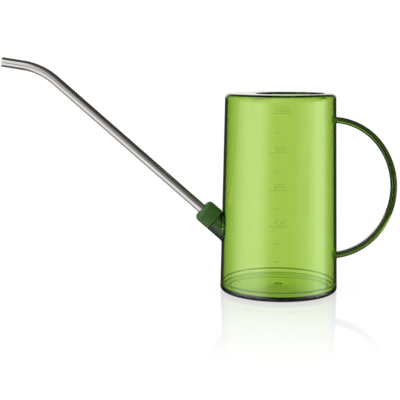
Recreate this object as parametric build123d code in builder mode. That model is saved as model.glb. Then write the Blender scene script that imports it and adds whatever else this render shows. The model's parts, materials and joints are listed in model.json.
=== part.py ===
"""Watering can: a clear jug with a closed front half of its top, a bow handle and a
bent steel spout that a union nut holds on a slanted, threaded neck.

Millimetres. The origin is the centre of the base on the ground, +Z up, +X towards the
handle and -X towards the spout, whose axes all lie in the plane Y = 0.
"""

import os
from math import cos, radians, sin

from build123d import *

# ---- jug ---------------------------------------------------------------------------
can_height = 168.2
can_base_r = 50.15
can_top_r = 46.55
wall = 2.3
top_thick = 2.0
shoulder_r = 4.2
inner_shoulder_r = 2.2
seam_z = 7.4
taper = (can_base_r - can_top_r) / can_height

mouth_x = 8.2
mouth_r = 29.2
mouth_lip_wall = 2.0
mouth_lip_bottom_z = 164.7
mouth_edge_r = 0.6

# ---- base plate ----------------------------------------------------------------------
base_edge_r = 3.0
floor_z = 3.8
floor_mid_z = 4.7
floor_corner_r = 0.6
tongue_wide = 0.9
tongue_high = 1.2
tongue_gap = 0.05
foot_inner_r = 42.0
foot_depth = 0.8
gate_r = 3.4
gate_depth = 0.9
gate_pin_r = 1.0

# ---- graduation ticks, one for each 100 ml: their steps grow as the can narrows --------
first_mark_z = 33.9
mark_step = 14.3
mark_growth = 0.205
mark_count = 9
mark_height = 0.25
mark_thick = 0.6
mark_root = 0.4
long_marks = (2, 4, 6, 8)
long_mark_start_deg = 256.0
long_mark_deg = 18.6
short_mark_start_deg = 260.0
short_mark_deg = 6.2

# ---- handle: three arcs tangent to one another ----------------------------------------
grip_x, grip_z = 35.72, 87.62
grip_r = 61.66
grip_half_deg = 38.2
end_r = 52.77
handle_thick = 5.1
handle_width = 8.0
handle_edge_r = 1.9
handle_root_r = 1.2

# ---- spout axis: t is the distance along it from the outside of the wall -----------------
spout_deg = 41.5
spout_root_z = 55.11
spout_root = Vector(-(can_base_r - taper * spout_root_z), 0, spout_root_z)
spout_dir = Vector(-cos(radians(spout_deg)), 0, sin(radians(spout_deg)))

# ---- neck ----------------------------------------------------------------------------
collar_r = 9.9
collar_end_t = 8.0
stub_end_t = 18.6
stub_r = 6.8
stub_chamfer = 0.5
neck_bore_r = 5.2
neck_root_t = -16.0

# ---- screw thread of the neck and the nut -----------------------------------------------
pitch = 3.0
neck_thread_depth = 0.8
neck_thread_start_t = 9.6
neck_thread_turns = 2.5
nut_thread_start_t = neck_thread_start_t + pitch / 2
nut_thread_turns = 2.25
nut_thread_depth = 0.8
ridge_root_width = 1.5
ridge_crest_width = 0.7
ridge_sink = 0.3

# ---- nut -----------------------------------------------------------------------------
nut_r = 9.95
nut_start_t = 8.4
nut_end_t = 22.8
nut_cavity_r = 7.85
nut_hole_r = 4.3
nut_outer_edge_r = 4.0
nut_inner_edge = 0.5
rib_count = 40
rib_depth = 0.35

# ---- gasket and ferrule ----------------------------------------------------------------
gasket_thick = 1.4
gasket_r = 6.7
sleeve_r = 4.8
gasket_gap = 0.08
flange_thick = 1.2
flange_r = 6.4
sleeve_end_t = 8.0
sleeve_stop = 1.0

# ---- tube ----------------------------------------------------------------------------
tube_r = 4.0
tube_wall = 0.5
tube_corner_t = 202.26
tube_bend_r = 52.0
tip_deg = 9.0
tip_length = 33.3
tip_chamfer = 0.15


def can_r(z):
    """Radius of the outside of the wall at height z."""
    return can_base_r - taper * z


def spout_plane(t):
    """Plane across the spout's axis at t, with its X axis along +Y."""
    return Plane(origin=spout_root + spout_dir * t, x_dir=(0, 1, 0), z_dir=spout_dir)


def radial_plane(azimuth):
    """Upright plane through the can's axis; its X axis points out along the azimuth."""
    c, s = cos(radians(azimuth)), sin(radians(azimuth))
    return Plane(origin=(0, 0, 0), x_dir=(c, s, 0), z_dir=(s, -c, 0))


def thread_ridge(root_r, outward, start_t, turns, depth):
    """Right-hand ridge about the spout's axis, on a stub or inside a hole."""
    side = 1 if outward else -1
    middle = spout_root + spout_dir * start_t
    with BuildPart() as ridge:
        with BuildLine() as route:
            Helix(pitch, pitch * turns, root_r, center=middle, direction=spout_dir)
        start = route.line @ 0
        out = (start - middle).normalized()
        with BuildSketch(Plane(origin=start, x_dir=out, z_dir=route.line % 0)):
            with BuildLine():
                low, high = -side * ridge_sink, side * depth
                Polyline(
                    (low, -ridge_root_width / 2),
                    (high, -ridge_crest_width / 2),
                    (high, ridge_crest_width / 2),
                    (low, ridge_root_width / 2),
                    close=True,
                )
            make_face()
        sweep(path=route.line, is_frenet=True)
    return ridge.part


# Solid cone with the outside of the can: cuts the ends of what is bonded to the wall.
with BuildPart() as can_form:
    with BuildSketch(Plane.XZ):
        with BuildLine():
            Polyline((0, 0), (can_r(0), 0), (can_r(can_height), can_height), (0, can_height), close=True)
        make_face()
    revolve(axis=Axis.Z)

# ---- body shell: wall, top plate with its mouth, and graduation ticks -------------------
under_top = can_height - top_thick
seam_r = can_r(seam_z) - wall / 2
groove_half = tongue_wide / 2 + tongue_gap
with BuildPart() as body_shell:
    with BuildSketch(Plane.XZ):
        with BuildLine():
            Polyline(
                (can_r(seam_z), seam_z),
                (can_r(can_height), can_height),
                (0, can_height),
                (0, under_top),
                (can_r(can_height) - wall, under_top),
                (can_r(seam_z) - wall, seam_z),
                (seam_r - groove_half, seam_z),
                (seam_r - groove_half, seam_z + tongue_high + tongue_gap),
                (seam_r + groove_half, seam_z + tongue_high + tongue_gap),
                (seam_r + groove_half, seam_z),
                close=True,
            )
        make_face()
        fillet(vertices().group_by(Axis.Y)[-1].sort_by(Axis.X)[-1], radius=shoulder_r)
        fillet(vertices().group_by(Axis.Y)[-2].sort_by(Axis.X)[-1], radius=inner_shoulder_r)
    revolve(axis=Axis.Z)
    with BuildSketch(Plane.XY.offset(mouth_lip_bottom_z)):
        with Locations((mouth_x, 0)):
            Circle(mouth_r + mouth_lip_wall)
    extrude(amount=can_height - top_thick / 2 - mouth_lip_bottom_z)
    with BuildSketch(Plane.XY.offset(mouth_lip_bottom_z)):
        with Locations((mouth_x, 0)):
            Circle(mouth_r)
    extrude(amount=can_height - mouth_lip_bottom_z, mode=Mode.SUBTRACT)
    rim = body_shell.edges().filter_by(GeomType.CIRCLE)
    rim = rim.filter_by(lambda e: abs(e.radius - mouth_r) < 0.01)
    fillet(rim, radius=mouth_edge_r)
    with BuildSketch(spout_plane(neck_root_t)):
        Circle(neck_bore_r)
    extrude(amount=-neck_root_t + collar_r, mode=Mode.SUBTRACT)
    for mark in range(mark_count):
        z = first_mark_z + mark * mark_step + mark * (mark - 1) / 2 * mark_growth
        start = long_mark_start_deg if mark in long_marks else short_mark_start_deg
        span = long_mark_deg if mark in long_marks else short_mark_deg
        with BuildSketch(radial_plane(start)):
            with Locations((can_r(z) + (mark_height - mark_root) / 2, z)):
                Rectangle(mark_height + mark_root, mark_thick)
        revolve(axis=Axis.Z, revolution_arc=span)
body_shell.part.label = "body_shell"

# ---- base plate: a shallow dish, with a tongue that the wall's lower edge is welded over ----
with BuildPart() as base_plate:
    with BuildSketch(Plane.XZ):
        with BuildLine():
            Polyline(
                (0, foot_depth),
                (foot_inner_r - foot_depth, foot_depth),
                (foot_inner_r, 0),
                (can_r(0), 0),
                (can_r(seam_z), seam_z),
                (seam_r + tongue_wide / 2, seam_z),
                (seam_r + tongue_wide / 2, seam_z + tongue_high),
                (seam_r - tongue_wide / 2, seam_z + tongue_high),
                (seam_r - tongue_wide / 2, seam_z),
                (can_r(seam_z) - wall, seam_z),
                (can_r(floor_z) - wall, floor_z),
                (gate_r, floor_mid_z),
                (0, floor_mid_z),
                close=True,
            )
        make_face()
        fillet(vertices().group_by(Axis.Y)[0].sort_by(Axis.X)[-1], radius=base_edge_r)
        floor_corners = vertices().filter_by_position(Axis.Y, floor_z - 0.01, floor_z + 0.01)
        fillet(floor_corners.sort_by(Axis.X)[-1], radius=floor_corner_r)
    revolve(axis=Axis.Z)
    with BuildSketch(Plane.XY.offset(floor_mid_z)):
        Circle(gate_r)
        Circle(gate_pin_r, mode=Mode.SUBTRACT)
    extrude(amount=-gate_depth, mode=Mode.SUBTRACT)
base_plate.part.label = "base_plate"

# ---- handle: a bow of three arcs, flared where it meets the wall ---------------------------
end_x = grip_x + (grip_r - end_r) * cos(radians(grip_half_deg))
end_rise = (grip_r - end_r) * sin(radians(grip_half_deg))
end_sweep_deg = 90 - grip_half_deg
with BuildPart() as handle:
    add(can_form.part)
    with BuildLine(Plane.XZ) as bow:
        CenterArc((end_x, grip_z - end_rise), end_r, -90, end_sweep_deg)
        CenterArc((grip_x, grip_z), grip_r, -grip_half_deg, 2 * grip_half_deg)
        CenterArc((end_x, grip_z + end_rise), end_r, grip_half_deg, end_sweep_deg)
    with BuildSketch(Plane(origin=(end_x, 0, grip_z - end_rise - end_r), x_dir=(0, 1, 0), z_dir=(1, 0, 0))):
        RectangleRounded(handle_width, handle_thick, handle_edge_r)
    sweep(path=bow.wires()[0])
    roots = new_edges(can_form.part, combined=handle.part).filter_by(lambda e: e.center().X < can_base_r)
    fillet(roots, radius=handle_root_r)
    add(can_form.part, mode=Mode.SUBTRACT)
handle.part.label = "handle"

# ---- neck: slanted collar, and the threaded stub with the water way through both ------------
with BuildPart() as spout_neck:
    with BuildSketch(spout_plane(neck_root_t)):
        Circle(collar_r)
    extrude(amount=collar_end_t - neck_root_t)
    with BuildSketch(spout_plane(collar_end_t)):
        Circle(stub_r)
    extrude(amount=stub_end_t - collar_end_t)
    chamfer(spout_neck.edges().sort_by(Axis(spout_root, spout_dir))[-1], length=stub_chamfer)
    add(thread_ridge(stub_r, True, neck_thread_start_t, neck_thread_turns, neck_thread_depth))
    with BuildSketch(spout_plane(neck_root_t)):
        Circle(neck_bore_r)
    extrude(amount=stub_end_t - neck_root_t, mode=Mode.SUBTRACT)
    add(can_form.part, mode=Mode.SUBTRACT)
spout_neck.part.label = "spout_neck"

# ---- nut: ribbed outside, threaded inside, with a shoulder that presses on the ferrule --------
shoulder_t = stub_end_t + gasket_thick + flange_thick
with BuildPart() as spout_nut:
    with BuildSketch(spout_plane(nut_start_t)):
        Circle(nut_r)
    extrude(amount=nut_end_t - nut_start_t)
    ends = spout_nut.edges().filter_by(GeomType.CIRCLE).sort_by(Axis(spout_root, spout_dir))
    fillet(ends[-1], radius=nut_outer_edge_r)
    chamfer(ends[0], length=nut_inner_edge)
    with BuildSketch(spout_plane(nut_start_t)):
        with PolarLocations(nut_r, rib_count):
            RegularPolygon(rib_depth, 4)
    extrude(amount=nut_end_t - nut_start_t, mode=Mode.SUBTRACT)
    with BuildSketch(spout_plane(nut_start_t)):
        Circle(nut_cavity_r)
    extrude(amount=shoulder_t - nut_start_t, mode=Mode.SUBTRACT)
    with BuildSketch(spout_plane(shoulder_t)):
        Circle(nut_hole_r)
    extrude(amount=nut_end_t - shoulder_t, mode=Mode.SUBTRACT)
    add(thread_ridge(nut_cavity_r, False, nut_thread_start_t, nut_thread_turns, nut_thread_depth))
spout_nut.part.label = "spout_nut"

# ---- gasket between the stub's end and the ferrule's flange ----------------------------------
flange_t = stub_end_t + gasket_thick
with BuildPart() as spout_gasket:
    with BuildSketch(spout_plane(stub_end_t)):
        Circle(gasket_r)
        Circle(sleeve_r + gasket_gap, mode=Mode.SUBTRACT)
    extrude(amount=gasket_thick)
spout_gasket.part.label = "spout_gasket"

# ---- ferrule: sleeve in the neck's bore, with a flange above and a stop for the tube below -----
with BuildPart() as spout_ferrule:
    with BuildSketch(spout_plane(sleeve_end_t)):
        Circle(sleeve_r)
    extrude(amount=flange_t - sleeve_end_t)
    with BuildSketch(spout_plane(flange_t)):
        Circle(flange_r)
    extrude(amount=flange_thick)
    with BuildSketch(spout_plane(sleeve_end_t)):
        Circle(tube_r - tube_wall)
    extrude(amount=sleeve_stop, mode=Mode.SUBTRACT)
    with BuildSketch(spout_plane(sleeve_end_t + sleeve_stop)):
        Circle(tube_r)
    extrude(amount=flange_t + flange_thick - sleeve_end_t - sleeve_stop, mode=Mode.SUBTRACT)
spout_ferrule.part.label = "spout_ferrule"

# ---- tube: straight along the neck's axis, one bend, then a short straight tip ----------------
tube_start = spout_root + spout_dir * (sleeve_end_t + sleeve_stop)
tube_corner = spout_root + spout_dir * tube_corner_t
tube_tip = tube_corner + Vector(-cos(radians(tip_deg)), 0, sin(radians(tip_deg))) * tip_length
with BuildPart() as spout_tube:
    with BuildLine() as tube_route:
        FilletPolyline(tube_start, tube_corner, tube_tip, radius=tube_bend_r)
    with BuildSketch(spout_plane(sleeve_end_t + sleeve_stop)):
        Circle(tube_r)
        Circle(tube_r - tube_wall, mode=Mode.SUBTRACT)
    sweep(path=tube_route.wires()[0])
    tip_edges = spout_tube.edges().filter_by(GeomType.CIRCLE).sort_by(Axis.X)[:2]
    chamfer(tip_edges, length=tip_chamfer)
spout_tube.part.label = "spout_tube"

os.makedirs("parts", exist_ok=True)
export_step(body_shell.part, "parts/body_shell.step")
export_step(base_plate.part, "parts/base_plate.step")
export_step(handle.part, "parts/handle.step")
export_step(spout_neck.part, "parts/spout_neck.step")
export_step(spout_nut.part, "parts/spout_nut.step")
export_step(spout_gasket.part, "parts/spout_gasket.step")
export_step(spout_ferrule.part, "parts/spout_ferrule.step")
export_step(spout_tube.part, "parts/spout_tube.step")
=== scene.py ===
"""Looks of the watering can: clear green jug, bow handle, union nut and bent steel spout.

Metres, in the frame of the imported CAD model: origin at the centre of the base on the
floor, +Z up, +X towards the handle, -X towards the spout.
"""

import json
from math import acos, cos, pi, radians, sin, sqrt, tan

import bmesh
import bpy
import numpy as np
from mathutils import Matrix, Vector


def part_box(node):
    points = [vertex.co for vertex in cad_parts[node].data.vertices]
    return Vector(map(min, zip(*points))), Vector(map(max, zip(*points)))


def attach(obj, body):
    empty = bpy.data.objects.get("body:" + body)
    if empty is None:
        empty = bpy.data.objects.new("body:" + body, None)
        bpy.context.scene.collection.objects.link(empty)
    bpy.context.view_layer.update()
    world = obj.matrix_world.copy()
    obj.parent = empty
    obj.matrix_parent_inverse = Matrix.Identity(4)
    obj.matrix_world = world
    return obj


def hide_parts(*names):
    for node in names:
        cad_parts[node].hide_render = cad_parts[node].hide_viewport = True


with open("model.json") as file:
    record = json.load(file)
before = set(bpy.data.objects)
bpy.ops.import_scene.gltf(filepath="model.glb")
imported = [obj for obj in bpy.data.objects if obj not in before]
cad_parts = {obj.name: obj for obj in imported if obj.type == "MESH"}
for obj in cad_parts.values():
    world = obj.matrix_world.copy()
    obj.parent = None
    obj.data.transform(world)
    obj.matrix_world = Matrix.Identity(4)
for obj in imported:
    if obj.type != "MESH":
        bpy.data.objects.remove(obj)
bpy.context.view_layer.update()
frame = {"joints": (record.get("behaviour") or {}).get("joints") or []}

MM = 0.001
GAP = 0.03 * MM  # air left between bonded pieces, so that their surfaces never coincide
SPIN = 2 * pi

# ---- sizes read from the frame ---------------------------------------------------------
handle_low, handle_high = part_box("handle")
can_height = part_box("body_shell")[1].z
tongue_high = 1.2 * MM
seam_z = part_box("base_plate")[1].z - tongue_high
joint = {j["name"]: j for j in frame["joints"]}["nut_turn"]
spout_root = Vector(joint["pos_m"])
spout_dir = Vector(joint["axis"]).normalized()
spout_lift = radians(41.5)
side_dir = Vector((0, 1, 0))
over_dir = spout_dir.cross(side_dir)

# ---- sizes of the jug ------------------------------------------------------------------
base_r, top_r = 50.15 * MM, 46.55 * MM
taper = (base_r - top_r) / can_height
body_steps = 288  # corners of the jug's and the base's rings
wall = 2.3 * MM
top_thick = 2.0 * MM
shoulder_r, inner_shoulder_r = 4.2 * MM, 2.2 * MM
mouth_x, mouth_r, lip_wall = 8.2 * MM, 29.2 * MM, 2.0 * MM
lip_bottom = can_height - 3.5 * MM
mouth_edge_r, lip_edge_r = 0.6 * MM, 0.4 * MM
tongue_half, tongue_gap = 0.45 * MM, 0.05 * MM
floor_z, floor_mid_z, floor_corner_r = 3.8 * MM, 4.7 * MM, 0.6 * MM
foot_r, foot_depth, base_edge_r = 42.0 * MM, 0.8 * MM, 3.0 * MM
gate_r, gate_pin_r, gate_depth = 3.4 * MM, 1.0 * MM, 0.9 * MM

# ---- graduation ------------------------------------------------------------------------
first_mark_z, mark_step, mark_growth, mark_count = 33.9 * MM, 14.3 * MM, 0.205 * MM, 9
mark_out, mark_in, mark_thick = 0.25 * MM, 0.4 * MM, 0.6 * MM
long_marks = range(2, mark_count, 2)
long_start, long_mark = radians(256.0), radians(18.6)
short_start, short_mark = radians(260.0), radians(6.2)
numeral_start, numeral_high, numeral_gap = radians(260.2), 4.6 * MM, 1.1 * MM

# ---- handle ----------------------------------------------------------------------------
handle_thick, handle_width, handle_edge_r = 5.1 * MM, 8.0 * MM, 1.9 * MM
grip_centre = Vector((35.72 * MM, 0, (handle_low.z + handle_high.z) / 2))
grip_r, end_r = 61.66 * MM, 52.77 * MM
grip_half = radians(38.2)
handle_root_r = 1.2 * MM

# ---- spout -----------------------------------------------------------------------------
collar_r, collar_end, stub_r, stub_end, neck_bore_r = 9.9 * MM, 8.0 * MM, 6.8 * MM, 18.6 * MM, 5.2 * MM
pitch, thread_depth, thread_start, thread_turns = 3.0 * MM, 0.8 * MM, 9.6 * MM, 2.5
nut_turns = 2.25  # turns of thread inside the nut
nut_r, nut_start, nut_end, nut_cavity_r, nut_hole_r = 9.95 * MM, 8.4 * MM, 22.8 * MM, 7.85 * MM, 4.3 * MM
nut_edge_r, nut_inner_edge, rib_count, rib_depth = 4.0 * MM, 0.5 * MM, 40, 0.35 * MM
gasket_r, gasket_thick, sleeve_r, gasket_gap = 6.7 * MM, 1.4 * MM, 4.8 * MM, 0.08 * MM
flange_r, flange_thick, sleeve_end, sleeve_stop = 6.4 * MM, 1.2 * MM, 8.0 * MM, 1.0 * MM
tube_r, tube_wall, tube_corner, tube_bend_r = 4.0 * MM, 0.5 * MM, 202.26 * MM, 52.0 * MM
tip_angle, tip_length, tip_edge_r = radians(9.0), 33.3 * MM, 0.15 * MM


def can_r(z):
    """Radius of the outside of the can's wall at height z."""
    return base_r - taper * z


def mark_z(mark):
    """Height of a tick; the steps grow as the can narrows."""
    return first_mark_z + mark * mark_step + mark * (mark - 1) / 2 * mark_growth


# ---- mesh building ---------------------------------------------------------------------
def make_object(name, mesh, sharp_deg=35):
    """Object with smooth faces, sharp only where its faces turn by more than sharp_deg."""
    mesh.polygons.foreach_set("use_smooth", [True] * len(mesh.polygons))
    mesh.set_sharp_from_angle(angle=radians(sharp_deg))
    piece = bpy.data.objects.new(name, mesh)
    bpy.context.scene.collection.objects.link(piece)
    return piece


def ring_mesh(name, rings, wrap=False, start_cap=False, end_cap=False):
    """Mesh through rings of points: closed round each ring, and from last to first if wrap."""
    bm = bmesh.new()
    rows = [[bm.verts.new(p) for p in ring] for ring in rings]
    count = len(rows[0])
    pairs = list(zip(rows, rows[1:]))
    if wrap:
        pairs.append((rows[-1], rows[0]))
    for low, high in pairs:
        for i in range(count):
            k = (i + 1) % count
            bm.faces.new((low[i], low[k], high[k], high[i]))
    for wanted, row in ((start_cap, rows[0]), (end_cap, rows[-1])):
        if wanted:
            centre = bm.verts.new(sum((v.co for v in row), Vector()) / count)
            for i in range(count):
                bm.faces.new((row[i], row[(i + 1) % count], centre))
    bmesh.ops.recalc_face_normals(bm, faces=bm.faces)
    mesh = bpy.data.meshes.new(name)
    bm.to_mesh(mesh)
    bm.free()
    return mesh


def arc(cx, cz, r, start_deg, end_deg, steps):
    """Points of an arc in a profile, ends included."""
    turn = [radians(start_deg + (end_deg - start_deg) * i / steps) for i in range(steps + 1)]
    return [(cx + r * cos(a), cz + r * sin(a)) for a in turn]


def run(start, end, steps):
    """Points of a straight stretch of a profile, without its first one."""
    return [tuple(s + (e - s) * i / steps for s, e in zip(start, end)) for i in range(1, steps + 1)]


def upright_rings(profile, count):
    """Rings about the can's axis from (radius, z) or (radius, z, centre x) points."""
    turns = [SPIN * i / count for i in range(count)]
    rings = []
    for r, z, *shift in profile:
        cx = shift[0] if shift else 0
        rings.append([Vector((cx + r * cos(a), r * sin(a), z)) for a in turns])
    return rings


def spout_point(t, r, turn):
    """Point at t along the spout's axis, r from it, and turned right-handed about it."""
    return spout_root + spout_dir * t + (side_dir * cos(turn) + over_dir * sin(turn)) * r


def spout_rings(profile, count):
    """Rings about the spout's axis from (t, radius) points."""
    turns = [SPIN * i / count for i in range(count)]
    return [[spout_point(t, r, a) for a in turns] for t, r in profile]


def boolean(piece, cutter, operation):
    """Applies one exact boolean to the piece, and removes the cutter."""
    step = piece.modifiers.new(operation, "BOOLEAN")
    step.operation, step.solver, step.object = operation, "EXACT", cutter
    graph = bpy.context.evaluated_depsgraph_get()
    mesh = bpy.data.meshes.new_from_object(piece.evaluated_get(graph))
    piece.modifiers.clear()
    piece.data = mesh
    bpy.data.objects.remove(cutter)


# ---- materials -------------------------------------------------------------------------
def new_material(name):
    """Material with an empty node tree but for its output."""
    material = bpy.data.materials.new(name)
    material.use_nodes = True
    tree = material.node_tree
    tree.nodes.clear()
    out = tree.nodes.new("ShaderNodeOutputMaterial")
    return material, tree, out


def node(tree, kind, inputs=None, **settings):
    """New node with its settings and input values."""
    made = tree.nodes.new(kind)
    for key, value in settings.items():
        setattr(made, key, value)
    for key, value in (inputs or {}).items():
        made.inputs[key].default_value = value
    return made


def stretched_noise(tree, scale, stretch, detail=3.0):
    """Noise over the object's own space, drawn out by stretch along each axis."""
    place = node(tree, "ShaderNodeTexCoord")
    mapping = node(tree, "ShaderNodeMapping", {"Scale": stretch})
    noise = node(tree, "ShaderNodeTexNoise", {"Scale": scale, "Detail": detail})
    tree.links.new(place.outputs["Object"], mapping.inputs["Vector"])
    tree.links.new(mapping.outputs["Vector"], noise.inputs["Vector"])
    return noise


def spread(tree, source, low, high, start=0.35, end=0.65):
    """Maps a noise's middle range onto low to high."""
    limits = {"From Min": start, "From Max": end, "To Min": low, "To Max": high}
    span = node(tree, "ShaderNodeMapRange", limits)
    tree.links.new(source, span.inputs["Value"])
    return span.outputs["Result"]


def clear_plastic(name, absorb, density, tone=(1, 1, 1), mark=None):
    """Clear, through-dyed plastic: faint flow waves, uneven polish and hazy marks of one tint; the neck's
    grey tone and the base's mark tint are painted shade.
    """
    material, tree, out = new_material(name)
    shell = node(tree, "ShaderNodeBsdfPrincipled", {"IOR": 1.49, "Transmission Weight": 1.0})
    tint = node(tree, "ShaderNodeMix", data_type="RGBA")
    # tone greys the whole piece; on the neck it is painted shade.
    tint.inputs["A"].default_value = (*tone, 1)
    # The mark tint goes on marked points; on the base it is painted shade along the weld and the inner
    # corner.
    tint.inputs["B"].default_value = (*(mark or tone), 1)
    tree.links.new(tint.outputs["Result"], shell.inputs["Base Color"])
    polish = stretched_noise(tree, 45, (1, 1, 0.4), 4)
    haze = node(tree, "ShaderNodeMath", operation="MULTIPLY_ADD")
    haze.inputs[1].default_value = 0.3
    tree.links.new(spread(tree, polish.outputs["Fac"], 0.0, 0.03), haze.inputs[2])
    if mark:
        marks_and_shade = node(tree, "ShaderNodeAttribute", attribute_name="marks_and_shade")
        tree.links.new(marks_and_shade.outputs["Fac"], haze.inputs[0])
        tree.links.new(marks_and_shade.outputs["Fac"], tint.inputs["Factor"])
    else:
        haze.inputs[0].default_value = 0
        tint.inputs["Factor"].default_value = 0
    tree.links.new(haze.outputs["Value"], shell.inputs["Roughness"])
    flow = stretched_noise(tree, 22, (1, 1, 0.25), 2)
    bump = node(tree, "ShaderNodeBump", {"Strength": 0.02, "Distance": 0.001})
    tree.links.new(flow.outputs["Fac"], bump.inputs["Height"])
    tree.links.new(bump.outputs["Normal"], shell.inputs["Normal"])
    lamp = node(tree, "ShaderNodeBsdfTransparent", {"Color": (*[0.55 + 0.4 * c for c in absorb], 1)})
    path = node(tree, "ShaderNodeLightPath")
    mix = node(tree, "ShaderNodeMixShader")
    tree.links.new(path.outputs["Is Shadow Ray"], mix.inputs["Fac"])
    tree.links.new(shell.outputs["BSDF"], mix.inputs[1])
    tree.links.new(lamp.outputs["BSDF"], mix.inputs[2])
    tree.links.new(mix.outputs["Shader"], out.inputs["Surface"])
    dye = node(tree, "ShaderNodeVolumeAbsorption", {"Color": (*absorb, 1), "Density": density})
    tree.links.new(dye.outputs["Volume"], out.inputs["Volume"])
    return material


def solid_plastic(name, colour, dark, rough, grain, grain_size):
    """Opaque moulded plastic: mottled pigment, uneven polish and a fine grain."""
    material, tree, out = new_material(name)
    skin = node(tree, "ShaderNodeBsdfPrincipled", {"IOR": 1.5})
    pigment = stretched_noise(tree, 160, (1, 1, 1), 4)
    tint = node(tree, "ShaderNodeMix", data_type="RGBA")
    tint.inputs["A"].default_value = (*colour, 1)
    tint.inputs["B"].default_value = (*dark, 1)
    tree.links.new(spread(tree, pigment.outputs["Fac"], 0, 1), tint.inputs["Factor"])
    tree.links.new(tint.outputs["Result"], skin.inputs["Base Color"])
    polish = stretched_noise(tree, 320, (1, 1, 1), 3)
    tree.links.new(spread(tree, polish.outputs["Fac"], *rough), skin.inputs["Roughness"])
    fine = stretched_noise(tree, grain_size, (1, 1, 1), 2)
    bump = node(tree, "ShaderNodeBump", {"Strength": grain, "Distance": 0.0001})
    tree.links.new(fine.outputs["Fac"], bump.inputs["Height"])
    tree.links.new(bump.outputs["Normal"], skin.inputs["Normal"])
    tree.links.new(skin.outputs["BSDF"], out.inputs["Surface"])
    return material


def drawn_steel(name):
    """Bright drawn stainless tube: fine streaks along it and slightly uneven polish."""
    material, tree, out = new_material(name)
    metal = node(tree, "ShaderNodeBsdfPrincipled", {"Metallic": 1.0})
    along = node(tree, "ShaderNodeAttribute", attribute_name="along")
    mapping = node(tree, "ShaderNodeMapping", {"Scale": (25, 1600, 1600)})
    tree.links.new(along.outputs["Vector"], mapping.inputs["Vector"])
    streak = node(tree, "ShaderNodeTexNoise", {"Scale": 1.0, "Detail": 3.0})
    tree.links.new(mapping.outputs["Vector"], streak.inputs["Vector"])
    tint = node(tree, "ShaderNodeMix", data_type="RGBA")
    tint.inputs["A"].default_value = (0.62, 0.6, 0.57, 1)
    tint.inputs["B"].default_value = (0.74, 0.71, 0.69, 1)
    tree.links.new(spread(tree, streak.outputs["Fac"], 0, 1), tint.inputs["Factor"])
    tree.links.new(tint.outputs["Result"], metal.inputs["Base Color"])
    tree.links.new(spread(tree, streak.outputs["Fac"], 0.1, 0.2), metal.inputs["Roughness"])
    bump = node(tree, "ShaderNodeBump", {"Strength": 0.06, "Distance": 0.0001})
    tree.links.new(streak.outputs["Fac"], bump.inputs["Height"])
    tree.links.new(bump.outputs["Normal"], metal.inputs["Normal"])
    tree.links.new(metal.outputs["BSDF"], out.inputs["Surface"])
    return material


DYE = (0.634, 0.804, 0.006)
jug_plastic = clear_plastic("jug_clear_green", DYE, 545, mark=(0.7, 0.73, 0.55))
# The base's mark tint is painted shade: it darkens the weld and the inner corner.
base_plastic = clear_plastic("base_clear_green", DYE, 560, mark=(0.3, 0.46, 0.2))
handle_plastic = clear_plastic("handle_clear_green", DYE, 545)
# The neck's grey tone is painted shade: it makes a darker copy of the jug's plastic.
neck_plastic_painted_shade = clear_plastic("neck_clear_green_painted_shade", DYE, 545, (0.33, 0.42, 0.32))
nut_plastic = solid_plastic(
    "nut_deep_green", (0.036, 0.115, 0.007), (0.025, 0.085, 0.005), (0.28, 0.42), 0.25, 1500
)
gasket_rubber = solid_plastic("gasket_silicone", (0.72, 0.72, 0.7), (0.62, 0.62, 0.6), (0.55, 0.75), 0.2, 900)
ferrule_plastic = solid_plastic(
    "ferrule_white", (0.78, 0.79, 0.76), (0.7, 0.71, 0.68), (0.35, 0.5), 0.15, 900
)
tube_steel = drawn_steel("drawn_steel")


def finish_piece(piece, body, nodes, material):
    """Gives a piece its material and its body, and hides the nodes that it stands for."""
    piece.data.materials.clear()
    piece.data.materials.append(material)
    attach(piece, body)
    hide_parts(*nodes)
    return piece


# ---- jug: wall, top plate, mouth with its lip, and the welded lower edge ---------------
def jug_profile():
    """Rings of the jug, once round its section, as (radius, z, centre x)."""
    seam_r = can_r(seam_z) - wall / 2
    groove = tongue_half + tongue_gap
    groove_top = seam_z + tongue_high + tongue_gap
    shoulder_z = can_height - shoulder_r
    outer = [(can_r(z), z) for z in np.linspace(seam_z + GAP, shoulder_z, 60)]
    outer += arc(can_r(shoulder_z) - shoulder_r, shoulder_z, shoulder_r, 0, 90, 12)[1:]
    top = [(r, z, 0) for r, z in outer]
    top += run(top[-1], (mouth_r + mouth_edge_r, can_height, mouth_x), 8)
    mouth = arc(mouth_r + mouth_edge_r, can_height - mouth_edge_r, mouth_edge_r, 90, 180, 6)[1:]
    mouth += run(mouth[-1], (mouth_r, lip_bottom + mouth_edge_r), 4)
    mouth += arc(mouth_r + mouth_edge_r, lip_bottom + mouth_edge_r, mouth_edge_r, 180, 270, 6)[1:]
    lip_out = mouth_r + lip_wall
    mouth += arc(lip_out - lip_edge_r, lip_bottom + lip_edge_r, lip_edge_r, -90, 0, 4)
    under = can_height - top_thick
    mouth += run(mouth[-1], (lip_out, under), 3)
    top += [(r, z, mouth_x) for r, z in mouth]
    inner_z = under - inner_shoulder_r
    inner_r = can_r(inner_z) - wall
    top += run(top[-1], (inner_r - inner_shoulder_r, under, 0), 8)
    inner = arc(inner_r - inner_shoulder_r, inner_z, inner_shoulder_r, 90, 0, 8)[1:]
    inner += [(can_r(z) - wall, z) for z in np.linspace(inner_z, seam_z + GAP, 60)[1:]]
    inner += [(seam_r - groove, seam_z + GAP), (seam_r - groove, groove_top)]
    inner += [(seam_r + groove, groove_top), (seam_r + groove, seam_z + GAP)]
    return top + [(r, z, 0) for r, z in inner]


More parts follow.
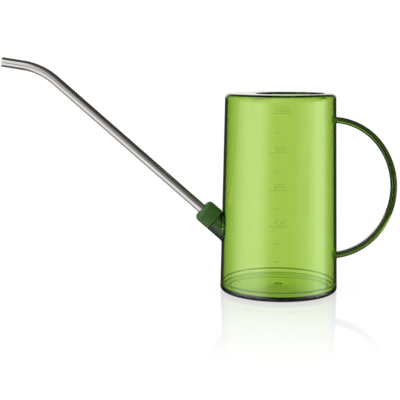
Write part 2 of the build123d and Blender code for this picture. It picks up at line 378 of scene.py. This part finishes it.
def mark_bar(bm, z, start, span, steps):
    """Adds a closed bar that follows the wall at height z."""
    corners = ((-mark_in, -0.5), (mark_out, -0.5), (mark_out, 0.5), (-mark_in, 0.5))
    rows = []
    for i in range(steps + 1):
        a = start + span * i / steps
        row = []
        for off, share in corners:
            height = z + share * mark_thick
            r = can_r(height) + off
            row.append(bm.verts.new((r * cos(a), r * sin(a), height)))
        rows.append(row)
    for low, high in zip(rows, rows[1:]):
        for i in range(4):
            k = (i + 1) % 4
            bm.faces.new((low[i], low[k], high[k], high[i]))
    bm.faces.new(rows[0])
    bm.faces.new(rows[-1])


def numeral_mesh(text, z):
    """Closed raised numeral that stands just above the tick at z, wrapped round the wall."""
    curve = bpy.data.curves.new("numeral", "FONT")
    curve.body, curve.size, curve.extrude = text, numeral_high / 0.73, (mark_out + mark_in) / 2
    curve.resolution_u = 3
    written = bpy.data.objects.new("numeral", curve)
    bpy.context.scene.collection.objects.link(written)
    mesh = bpy.data.meshes.new_from_object(written.evaluated_get(bpy.context.evaluated_depsgraph_get()))
    bm = bmesh.new()
    bm.from_mesh(mesh)
    bmesh.ops.remove_doubles(bm, verts=bm.verts, dist=1e-6)
    for v in bm.verts:
        height = z + numeral_gap + v.co.y
        r = can_r(height) + (mark_out - mark_in) / 2 + v.co.z
        a = numeral_start + v.co.x / base_r
        v.co = (r * cos(a), r * sin(a), height)
    bm.to_mesh(mesh)
    bm.free()
    bpy.data.objects.remove(written)
    bpy.data.curves.remove(curve)
    return mesh


def graduation():
    """Bars and numerals that stand a little proud of the wall, as one mesh."""
    bm = bmesh.new()
    for mark in range(mark_count):
        if mark in long_marks:
            mark_bar(bm, mark_z(mark), long_start, long_mark, 14)
        else:
            mark_bar(bm, mark_z(mark), short_start, short_mark, 6)
    for mark in long_marks:
        written = numeral_mesh(str(200 + 100 * mark), mark_z(mark))
        bm.from_mesh(written)
        bpy.data.meshes.remove(written)
    bmesh.ops.recalc_face_normals(bm, faces=bm.faces)
    mesh = bpy.data.meshes.new("graduation")
    bm.to_mesh(mesh)
    bm.free()
    return mesh


jug = make_object("jug", ring_mesh("jug", upright_rings(jug_profile(), body_steps), wrap=True))
bore_rings = spout_rings([(-14 * MM, neck_bore_r), (7 * MM, neck_bore_r)], 72)
bore = make_object("bore", ring_mesh("bore", bore_rings, start_cap=True, end_cap=True))
boolean(jug, bore, "DIFFERENCE")
boolean(jug, make_object("marks", graduation()), "UNION")
jug.data.polygons.foreach_set("use_smooth", [True] * len(jug.data.polygons))
jug.data.set_sharp_from_angle(angle=radians(35))
marks_and_shade = jug.data.attributes.new("marks_and_shade", "FLOAT", "POINT")
for vertex, mark in zip(jug.data.vertices, marks_and_shade.data):
    mark.value = float(sqrt(vertex.co.x ** 2 + vertex.co.y ** 2) > can_r(vertex.co.z) + mark_out / 2)
finish_piece(jug, "can", ["body_shell"], jug_plastic)


# ---- base: a shallow dish with a foot ring, a tongue and the gate mark -----------------
def base_profile():
    """Section of the base from its middle below, round the outside, to its middle above.

    Returns its points, and for each of them whether it gets painted shade, a darker tint along the weld and
    round the inner corner.

    Returns its points, and for each of them whether the weld or the corner clouds it."""
    seam_r = can_r(seam_z) - wall / 2
    edge_x = can_r(0) - base_edge_r
    points = [(2 * MM, foot_depth)] + run((2 * MM, foot_depth), (foot_r - foot_depth, foot_depth), 8)
    points += run(points[-1], (foot_r, 0), 2) + run((foot_r, 0), (edge_x, 0), 3)
    points += arc(edge_x, base_edge_r, base_edge_r, -90, 0, 12)[1:-1]
    points += [(can_r(z), z) for z in np.linspace(base_edge_r, seam_z, 5)]
    # Points that get painted shade, a darker tint: the weld's tongue and the inner corner.
    painted_shade = [0] * len(points)
    for side, top in ((1, 0), (1, 1), (-1, 1), (-1, 0)):
        points.append((seam_r + side * tongue_half, seam_z + top * tongue_high))
        painted_shade.append(1)
    inner = can_r(floor_z) - wall
    points += [(can_r(seam_z) - wall, seam_z), (inner, floor_z + 2.4 * floor_corner_r)]
    corner = arc(inner - floor_corner_r, floor_z + floor_corner_r, floor_corner_r, 0, -90, 6)
    painted_shade += [0, 0] + [1] * len(corner) + [0]
    points += corner + [(inner - 3.5 * floor_corner_r, floor_z)]
    points += run(points[-1], (gate_r, floor_mid_z), 10)
    gate_z, draft = floor_mid_z - gate_depth, 0.2 * MM
    points += [(gate_r - draft, gate_z), (gate_pin_r + draft, gate_z)]
    points += [(gate_pin_r, floor_mid_z), (gate_pin_r / 2, floor_mid_z)]
    return points, painted_shade + [0] * (len(points) - len(painted_shade))


section, painted_shade = base_profile()
base_rings = upright_rings(section, body_steps)
base = make_object("base", ring_mesh("base", base_rings, start_cap=True, end_cap=True))
# Painted shade: the weld's and the inner corner's points take the base's darker tint.
painted_shade_layer = base.data.attributes.new("marks_and_shade", "FLOAT", "POINT")
painted_shade_layer.data.foreach_set("value", [float(c) for c in painted_shade for _ in range(body_steps)] + [0.0, 0.0])
finish_piece(base, "can", ["base_plate"], base_plastic)


# ---- handle: rounded bar along three arcs, flared where it meets the wall --------------
def handle_route(s):
    """(centre, outward direction) at share s of the bow, from its lower to its upper end."""
    spread_angle = pi / 2 - grip_half
    lengths = [end_r * spread_angle, grip_r * 2 * grip_half, end_r * spread_angle]
    at = s * sum(lengths)
    shift = Vector((cos(grip_half), 0, sin(grip_half))) * (grip_r - end_r)
    if at < lengths[0]:
        turn, middle, r = -pi / 2 + at / end_r, grip_centre + Vector((shift.x, 0, -shift.z)), end_r
    elif at < lengths[0] + lengths[1]:
        turn, middle, r = -grip_half + (at - lengths[0]) / grip_r, grip_centre, grip_r
    else:
        turn, middle, r = grip_half + (at - lengths[0] - lengths[1]) / end_r, grip_centre + shift, end_r
    out = Vector((cos(turn), 0, sin(turn)))
    return middle + out * r, out


def rounded_bar(steps=7, flat=3):
    """Section of the handle as (across, outward) points."""
    w, h, r = handle_width / 2, handle_thick / 2, handle_edge_r
    points = []
    for cx, cz, start in ((w - r, h - r, 0), (r - w, h - r, 90), (r - w, r - h, 180), (w - r, r - h, 270)):
        corner = arc(cx, cz, r, start, start + 90, steps)
        points += run(points[-1], corner[0], flat)[:-1] if points else []
        points += corner
    return points + run(points[-1], points[0], flat)[:-1]


def handle_point(s, offset, grow):
    """Point of the section at share s, pushed outwards from its middle by grow."""
    centre, out = handle_route(s)
    size = sqrt(offset[0] ** 2 + offset[1] ** 2)
    share = 1 + grow / size
    return centre + Vector((0, 1, 0)) * offset[0] * share + out * offset[1] * share


def off_wall(point):
    """Distance of a point from the outside of the can's wall."""
    return sqrt(point.x ** 2 + point.y ** 2) - can_r(point.z)


def share_off_wall(offset, grow, distance, low_end):
    """Share of the bow at which a point of the section is at that distance off the wall."""
    near, far = (0.0, 0.25) if low_end else (1.0, 0.75)
    for _ in range(34):
        middle = (near + far) / 2
        if off_wall(handle_point(middle, offset, grow)) < distance:
            near = middle
        else:
            far = middle
    return far


def handle_rings():
    """Rings of the bar: close together in the flares, evenly spaced between them."""
    section = rounded_bar()
    flare_steps, bow_steps = 7, 150
    heights = [handle_root_r * (1 - cos(pi / 2 * i / flare_steps)) for i in range(flare_steps + 1)]
    columns = []
    for offset in section:
        ends = []
        for low_end in (True, False):
            part = []
            for height in heights:
                grow = handle_root_r - sqrt(max(0, handle_root_r ** 2 - (handle_root_r - height) ** 2))
                share = share_off_wall(offset, grow, height + GAP, low_end)
                part.append((share, grow))
            ends.append(part)
        low, high = ends[0][-1][0], ends[1][-1][0]
        middle = [(low + (high - low) * i / bow_steps, 0) for i in range(1, bow_steps)]
        columns.append([handle_point(s, offset, g) for s, g in ends[0] + middle + ends[1][::-1]])
    return [list(ring) for ring in zip(*columns)]


handle = make_object("bow_handle", ring_mesh("bow_handle", handle_rings(), start_cap=True, end_cap=True), 50)
finish_piece(handle, "can", ["handle"], handle_plastic)


# ---- neck: collar cut to the wall, threaded stub and the bore through both -------------
def wall_t(r, turn):
    """Where a line along the spout's axis, r off it, leaves the outside of the wall."""
    low, high = -20 * MM, 20 * MM
    for _ in range(40):
        middle = (low + high) / 2
        if off_wall(spout_point(middle, r, turn)) < GAP:
            low = middle
        else:
            high = middle
    return high


def thread_height(t, turn, start, turns, depth):
    """Height of a right-hand ridge at t and turn, with a run-out at both ends."""
    along = (t - start) / pitch - turn / SPIN
    nearest = round(along)
    centre = nearest + turn / SPIN
    off = abs(along - nearest) * pitch
    ends = min(centre, turns - centre)
    if ends < -0.06:
        return 0
    slope = max(0, min(1, (0.75 * MM - off) / (0.4 * MM)))
    return depth * slope * max(0, min(1, (ends + 0.06) / 0.12))


def neck_rings():
    """Rings of the neck, once round its section."""
    count, flare = 144, 1.0 * MM
    turns = [SPIN * i / count for i in range(count)]
    root = [wall_t(collar_r, a) for a in turns]
    rings = []
    for i in range(7):
        lift = flare * (1 - cos(pi / 2 * i / 6))
        ring = []
        for a, t in zip(turns, root):
            share = max(0, min(1, (collar_end - t) / (6 * MM) - 0.1))
            grow = share * (flare - sqrt(max(0, flare ** 2 - (flare - lift) ** 2)))
            foot = wall_t(collar_r + grow, a)
            t = min(foot + share * lift / cos(spout_lift), collar_end - 0.3 * MM)
            ring.append(spout_point(t, collar_r + grow, a))
        rings.append(ring)
    edge = arc(collar_end - 0.25 * MM, collar_r - 0.25 * MM, 0.25 * MM, 90, 0, 3)
    profile = edge + [(collar_end, stub_r + 0.2 * MM), (collar_end + 0.2 * MM, stub_r)]
    rings += spout_rings(profile, count)
    for t in np.arange(collar_end + 0.5 * MM, stub_end - 0.5 * MM, 0.14 * MM):
        rings.append([
            spout_point(t, stub_r + thread_height(t, a, thread_start, thread_turns, thread_depth), a)
            for a in turns
        ])
    rings += spout_rings([
        (stub_end - 0.4 * MM, stub_r), (stub_end, stub_r - 0.4 * MM),
        (stub_end, neck_bore_r + 0.15 * MM), (stub_end - 0.15 * MM, neck_bore_r),
    ], count)
    inner = [wall_t(neck_bore_r, a) for a in turns]
    for i in range(1, 9):
        rings.append([
            spout_point(stub_end + (t - stub_end) * i / 8, neck_bore_r, a)
            for a, t in zip(turns, inner)
        ])
    return rings


neck = make_object("neck", ring_mesh("neck", neck_rings(), wrap=True))
finish_piece(neck, "can", ["spout_neck"], neck_plastic_painted_shade)


# ---- nut: ribbed outside, rounded outer edge, threaded inside --------------------------
def nut_rings():
    """Rings of the nut, once round its section."""
    count = rib_count * 10
    turns = [SPIN * i / count for i in range(count)]
    groove = [max(0, cos(rib_count * a)) ** 1.5 * rib_depth for a in turns]
    outer = [(nut_start, nut_r - nut_inner_edge, 0), (nut_start + nut_inner_edge, nut_r, 0.6)]
    outer += [(t, nut_r, 1) for t in np.linspace(nut_start + 1.2 * MM, nut_end - nut_edge_r, 8)]
    for i in range(1, 9):
        a = radians(90 * i / 8)
        outer.append((nut_end - nut_edge_r * (1 - sin(a)), nut_r - nut_edge_r * (1 - cos(a)), cos(a) ** 2))
    rings = [[spout_point(t, r - g * f, a) for a, g in zip(turns, groove)] for t, r, f in outer]
    shoulder = stub_end + gasket_thick + flange_thick
    rings += spout_rings([(nut_end, nut_hole_r + 0.3 * MM), (nut_end - 0.3 * MM, nut_hole_r)], count)
    rings += spout_rings([(shoulder, nut_hole_r), (shoulder, nut_cavity_r), (stub_end, nut_cavity_r)], count)
    start = thread_start + pitch / 2
    for t in np.arange(stub_end - 0.3 * MM, nut_start + 0.5 * MM, -0.2 * MM):
        rings.append([
            spout_point(t, nut_cavity_r - thread_height(t, a, start, nut_turns, thread_depth), a)
            for a in turns
        ])
    return rings + spout_rings([(nut_start, nut_cavity_r + 0.3 * MM)], count)


nut = make_object("union_nut", ring_mesh("union_nut", nut_rings(), wrap=True), 40)
finish_piece(nut, "nut", ["spout_nut"], nut_plastic)

# ---- gasket and ferrule ----------------------------------------------------------------
soft = 0.25 * MM
flange_t = stub_end + gasket_thick
gasket_in = sleeve_r + gasket_gap
gasket_section = arc(stub_end + soft, gasket_r - soft, soft, 180, 90, 4)
gasket_section += arc(flange_t - soft, gasket_r - soft, soft, 90, 0, 4)
gasket_section += arc(flange_t - soft, gasket_in + soft, soft, 0, -90, 4)
gasket_section += arc(stub_end + soft, gasket_in + soft, soft, -90, -180, 4)
gasket = make_object("gasket", ring_mesh("gasket", spout_rings(gasket_section, 96), wrap=True))
finish_piece(gasket, "seal", ["spout_gasket"], gasket_rubber)

flange_end = flange_t + flange_thick
tube_stop = sleeve_end + sleeve_stop
ferrule_section = [(sleeve_end, tube_r - tube_wall), (sleeve_end, sleeve_r - soft)]
ferrule_section += [(sleeve_end + soft, sleeve_r)]
ferrule_section += run(ferrule_section[-1], (flange_t, sleeve_r), 6) + [(flange_t, flange_r - soft)]
ferrule_section += [(flange_t + soft, flange_r), (flange_end - soft, flange_r), (flange_end, flange_r - soft)]
ferrule_section += [(flange_end, tube_r + GAP), (tube_stop, tube_r + GAP), (tube_stop, tube_r - tube_wall)]
ferrule = make_object("ferrule", ring_mesh("ferrule", spout_rings(ferrule_section, 96), wrap=True))
finish_piece(ferrule, "spout", ["spout_ferrule"], ferrule_plastic)


# ---- tube: straight, one bend, straight tip, with rounded ends -------------------------
def tube_route():
    """(centre, direction) pairs along the tube from its lower end to its tip."""
    tip_dir = Vector((-cos(tip_angle), 0, sin(tip_angle)))
    turn = acos(spout_dir.dot(tip_dir))
    reach = tube_bend_r * tan(turn / 2)
    corner = spout_root + spout_dir * tube_corner
    start, bend_start = sleeve_end + sleeve_stop + GAP, tube_corner - reach
    route = [(spout_root + spout_dir * t, spout_dir) for t in np.linspace(start, bend_start, 24)]
    down = (tip_dir - spout_dir * tip_dir.dot(spout_dir)).normalized()
    centre = corner - spout_dir * reach + down * tube_bend_r
    for i in range(1, 41):
        a = turn * i / 40
        out = spout_dir * sin(a) - down * cos(a)
        route.append((centre + out * tube_bend_r, spout_dir * cos(a) + down * sin(a)))
    return route + [(corner + tip_dir * t, tip_dir) for t in np.linspace(reach, tip_length, 8)[1:]]


def tube_mesh():
    """The tube's mesh, with each point's place along and round the tube kept as "along"."""
    count = 72
    route = tube_route()
    outer_end, inner_r = route[-1], tube_r - tube_wall
    stations = [(p, d, tube_r, 0) for p, d in route[:-1]]
    for i in range(5):
        a = radians(90 * i / 4)
        centre = outer_end[0] - outer_end[1] * tip_edge_r * (1 - sin(a))
        stations.append((centre, outer_end[1], tube_r - tip_edge_r * (1 - cos(a)), 0))
    for i in range(5):
        a = radians(90 * i / 4)
        centre = outer_end[0] - outer_end[1] * tip_edge_r * (1 - cos(a))
        stations.append((centre, outer_end[1], inner_r + tip_edge_r * (1 - sin(a)), 1))
    stations += [(p, d, inner_r, 1) for p, d in route[:-1][::-1]]
    rings, places = [], []
    travelled, last = 0.0, stations[0][0]
    for centre, forward, r, inside in stations:
        travelled += (centre - last).length * (-1 if inside else 1)
        last = centre
        over = forward.cross(side_dir)
        rings.append([])
        for i in range(count):
            a = SPIN * i / count
            rings[-1].append(centre + (side_dir * cos(a) + over * sin(a)) * r)
            places.append((travelled, r * cos(a), r * sin(a)))
    mesh = ring_mesh("spout_pipe", rings, wrap=True)
    along = mesh.attributes.new("along", "FLOAT_VECTOR", "POINT")
    along.data.foreach_set("vector", np.array(places, np.float32).ravel())
    return mesh


tube = make_object("spout_pipe", tube_mesh())
finish_piece(tube, "spout", ["spout_tube"], tube_steel)


# ---- stage: pale floor, studio surroundings, lamps and camera --------------------------
FLOOR_Z = -0.02 * MM
MIRROR_FULL_R, MIRROR_END_R, MIRROR_SHARE = 0.05, 0.25, 0.27


def make_floor():
    """Pale glossy table top, as bright as its surroundings, with a short mirror image near the can."""
    radii = (0.01, 0.05, 0.1, 0.15, 0.2, 0.4, 0.8, 1.6, 3.0, 6.0)
    rings = upright_rings([(r, FLOOR_Z) for r in radii], 96)
    floor = make_object("table_top", ring_mesh("table_top", rings, start_cap=True))
    if floor.data.polygons[0].normal.z < 0:
        floor.data.flip_normals()
    material, tree, out = new_material("table_white")
    paper = node(tree, "ShaderNodeBsdfDiffuse", {"Color": (0.2, 0.2, 0.2, 1)})
    glow = node(tree, "ShaderNodeEmission", {"Color": (1, 1, 1, 1), "Strength": 0.82})
    both = node(tree, "ShaderNodeAddShader")
    gloss = node(tree, "ShaderNodeBsdfGlossy", {"Color": (1, 1, 1, 1), "Roughness": 0.09})
    mix = node(tree, "ShaderNodeMixShader")
    place = node(tree, "ShaderNodeTexCoord")
    length = node(tree, "ShaderNodeVectorMath", operation="LENGTH")
    limits = {"From Min": MIRROR_FULL_R, "From Max": MIRROR_END_R, "To Min": MIRROR_SHARE, "To Max": 0.0}
    fade = node(tree, "ShaderNodeMapRange", limits)
    tree.links.new(place.outputs["Object"], length.inputs[0])
    tree.links.new(length.outputs["Value"], fade.inputs["Value"])
    tree.links.new(fade.outputs["Result"], mix.inputs["Fac"])
    tree.links.new(paper.outputs["BSDF"], both.inputs[0])
    tree.links.new(glow.outputs["Emission"], both.inputs[1])
    tree.links.new(both.outputs["Shader"], mix.inputs[1])
    tree.links.new(gloss.outputs["BSDF"], mix.inputs[2])
    tree.links.new(mix.outputs["Shader"], out.inputs["Surface"])
    floor.data.materials.append(material)
    floor.visible_glossy = floor.visible_transmission = False


# Studio painted by direction, as (bearing in degrees, brightness): bearing 0 is +Y, behind
# the can, 90 is +X, beside the handle, and 180 is the camera's side. One ring each for
# directions well below the horizon, level with it, a little above it and high above it.
# The values were set one by one, some after measuring how bright the real reflections are.
LOW_RING = [
    (-180, 0.9), (-165, 1.1), (-115, 1.1), (-82, 0.62), (-60, 0.35), (-45, 0.18),
    (-15, 0.03), (20, 0.03), (45, 0.1), (90, 0.3), (150, 0.45), (180, 0.9),
]
LEVEL_RING = [
    (-180, 0.12), (-166, 0.2), (-156, 0.8), (-144, 2.3), (-131, 3.2), (-104, 3.1),
    (-88, 2.0), (-68, 0.4), (-45, 0.05), (-12, 0.05), (0, 0.2), (12, 0.05), (50, 0.05),
    (66, 0.3), (75, 0.9), (87, 3.0), (103, 3.5), (118, 2.4), (131, 1.3), (144, 0.8),
    (156, 0.15), (180, 0.12),
]
HORIZON_RING = [
    (-180, 0.85), (-172, 1.0), (-90, 1.0), (-45, 0.2), (-22, 0.3), (-15, 1.0), (15, 1.0),
    (22, 0.2), (80, 0.1), (135, 0.08), (150, 0.12), (165, 0.3), (175, 0.5), (180, 0.85),
]
HIGH_RING = [
    (-180, 0.9), (-172, 1.1), (-110, 1.1), (-90, 0.9), (-60, 0.25), (-12, 0.04),
    (100, 0.04), (135, 0.06), (150, 0.12), (165, 0.3), (175, 0.45), (180, 0.9),
]
# Shares by the direction's z: of the level ring over the low one, of the horizon and the
# high ring over those, and of the dark ceiling and the dark ground over them all.
LEVEL_SHARE = [(-1, 0), (-0.28, 0), (-0.22, 1), (1, 1)]
HORIZON_SHARE = [(-1, 0), (0.005, 0), (0.02, 1), (1, 1)]
HIGH_SHARE = [(-1, 0), (0.28, 0), (0.36, 1), (1, 1)]
CEILING_SHARE = [(-1, 0), (0.86, 0), (0.93, 1), (1, 1)]
GROUND_SHARE = [(-1, 1), (-0.93, 1), (-0.85, 0), (1, 0)]
CEILING, GROUND = 0.05, 0.12
ONCE_BENT_SHARE = [(-1, 1), (0.09, 1), (0.14, 0.12), (1, 0.12)]
BACKDROP = [(-1, 1), (0.3, 1), (0.6, 0.2), (1, 0.1)]
BOTH_WALLS = 3.5  # times that light was bent: in and out of one wall is two, of both is four
STUDIO_GAIN = 4.0


def ramp(tree, source, stops, low, high, gain=1.0):
    """Piecewise linear curve of grey values through (place, value) stops."""
    span = node(tree, "ShaderNodeMapRange", {"From Min": low, "From Max": high})
    tree.links.new(source, span.inputs["Value"])
    made = node(tree, "ShaderNodeValToRGB")
    elements = made.color_ramp.elements
    for i, (place, value) in enumerate(stops):
        share = (place - low) / (high - low)
        element = elements[0] if i == 0 else elements.new(share) if i < len(stops) - 1 else elements[-1]
        element.position = share
        element.color = (value / gain, value / gain, value / gain, 1)
    tree.links.new(span.outputs["Result"], made.inputs["Fac"])
    return made.outputs["Color"]


def blend(tree, share, under, over):
    """Grey mix of two values by share."""
    made = node(tree, "ShaderNodeMix", data_type="RGBA")
    for name, value in (("Factor", share), ("A", under), ("B", over)):
        if isinstance(value, float):
            made.inputs[name].default_value = (value, value, value, 1)
        else:
            tree.links.new(value, made.inputs[name])
    return made.outputs["Result"]


def make_world():
    """White surroundings; gleams and light bent by one wall come from the studio."""
    world = bpy.data.worlds.new("studio")
    bpy.context.scene.world = world
    world.use_nodes = True
    tree = world.node_tree
    tree.nodes.clear()
    out = node(tree, "ShaderNodeOutputWorld")
    path = node(tree, "ShaderNodeLightPath")
    place = node(tree, "ShaderNodeTexCoord")
    parts = node(tree, "ShaderNodeSeparateXYZ")
    tree.links.new(place.outputs["Generated"], parts.inputs["Vector"])
    bearing = node(tree, "ShaderNodeMath", operation="ARCTAN2")
    tree.links.new(parts.outputs["X"], bearing.inputs[0])
    tree.links.new(parts.outputs["Y"], bearing.inputs[1])
    z = parts.outputs["Z"]
    paint, *rings = (
        ramp(tree, bearing.outputs["Value"], [(radians(b), v) for b, v in ring], -pi, pi, STUDIO_GAIN)
        for ring in (LOW_RING, LEVEL_RING, HORIZON_RING, HIGH_RING)
    )
    layers = [*rings, CEILING / STUDIO_GAIN, GROUND / STUDIO_GAIN]
    for share, layer in zip((LEVEL_SHARE, HORIZON_SHARE, HIGH_SHARE, CEILING_SHARE, GROUND_SHARE), layers):
        paint = blend(tree, ramp(tree, z, share, -1, 1), paint, layer)
    gain = node(tree, "ShaderNodeVectorMath", {"Scale": STUDIO_GAIN}, operation="SCALE")
    tree.links.new(paint, gain.inputs[0])
    studio = node(tree, "ShaderNodeBackground")
    tree.links.new(gain.outputs["Vector"], studio.inputs["Color"])
    # Light that didn't cross both walls sees a studio that is darker above the horizon.
    once = node(tree, "ShaderNodeBackground")
    tree.links.new(gain.outputs["Vector"], once.inputs["Color"])
    tree.links.new(ramp(tree, z, ONCE_BENT_SHARE, -1, 1), once.inputs["Strength"])
    # Light that crossed both of the can's walls comes from a backdrop, dark only overhead.
    backdrop = node(tree, "ShaderNodeBackground")
    tree.links.new(ramp(tree, z, BACKDROP, -1, 1), backdrop.inputs["Color"])
    crossed = node(tree, "ShaderNodeMath", operation="GREATER_THAN")
    crossed.inputs[1].default_value = BOTH_WALLS
    tree.links.new(path.outputs["Transmission Depth"], crossed.inputs[0])
    seen_through = node(tree, "ShaderNodeMixShader")
    tree.links.new(crossed.outputs["Value"], seen_through.inputs["Fac"])
    tree.links.new(once.outputs["Background"], seen_through.inputs[1])
    tree.links.new(backdrop.outputs["Background"], seen_through.inputs[2])
    bent = node(tree, "ShaderNodeMixShader")
    gleam = node(tree, "ShaderNodeMixShader")
    white = node(tree, "ShaderNodeBackground", {"Color": (1, 1, 1, 1), "Strength": 1.02})
    tree.links.new(path.outputs["Is Glossy Ray"], gleam.inputs["Fac"])
    tree.links.new(white.outputs["Background"], gleam.inputs[1])
    tree.links.new(studio.outputs["Background"], gleam.inputs[2])
    tree.links.new(path.outputs["Is Transmission Ray"], bent.inputs["Fac"])
    tree.links.new(gleam.outputs["Shader"], bent.inputs[1])
    tree.links.new(seen_through.outputs["Shader"], bent.inputs[2])
    tree.links.new(bent.outputs["Shader"], out.inputs["Surface"])


def make_lamp(name, place, size, power):
    """Soft rectangular lamp that faces the can and shows in no gleam."""
    data = bpy.data.lights.new(name, "AREA")
    data.shape, data.size, data.size_y, data.energy = "RECTANGLE", size[0], size[1], power
    lamp = bpy.data.objects.new(name, data)
    lamp.location = place
    lamp.rotation_euler = (Vector((0, 0, 0.08)) - Vector(place)).to_track_quat("-Z", "Y").to_euler()
    lamp.visible_camera = lamp.visible_glossy = lamp.visible_transmission = False
    bpy.context.scene.collection.objects.link(lamp)


CAMERA_PLACE, CAMERA_TILT, CAMERA_LENS = (-0.0677, -0.8414, 0.2016), 8.39, 89.64


def make_camera():
    """Camera at a seated eye's height in front of the can, a little towards the spout."""
    data = bpy.data.cameras.new("view")
    data.sensor_width, data.lens = 36.0, CAMERA_LENS
    camera = bpy.data.objects.new("view", data)
    camera.location = CAMERA_PLACE
    camera.rotation_euler = (radians(90 - CAMERA_TILT), 0, 0)
    data.clip_start, data.clip_end = 0.01, 50
    bpy.context.scene.collection.objects.link(camera)
    bpy.context.scene.camera = camera


make_floor()
make_world()
make_lamp("left_box", (-0.9, -0.4, 0.6), (0.6, 0.8), 3)
make_lamp("right_box", (0.8, -0.5, 0.5), (0.5, 0.7), 2)
make_camera()
bpy.context.scene.view_settings.view_transform = "Standard"
bpy.context.scene.cycles.max_bounces = 24
bpy.context.scene.cycles.transmission_bounces = 20
bpy.context.scene.cycles.transparent_max_bounces = 16
bpy.context.scene.cycles.caustics_refractive = False
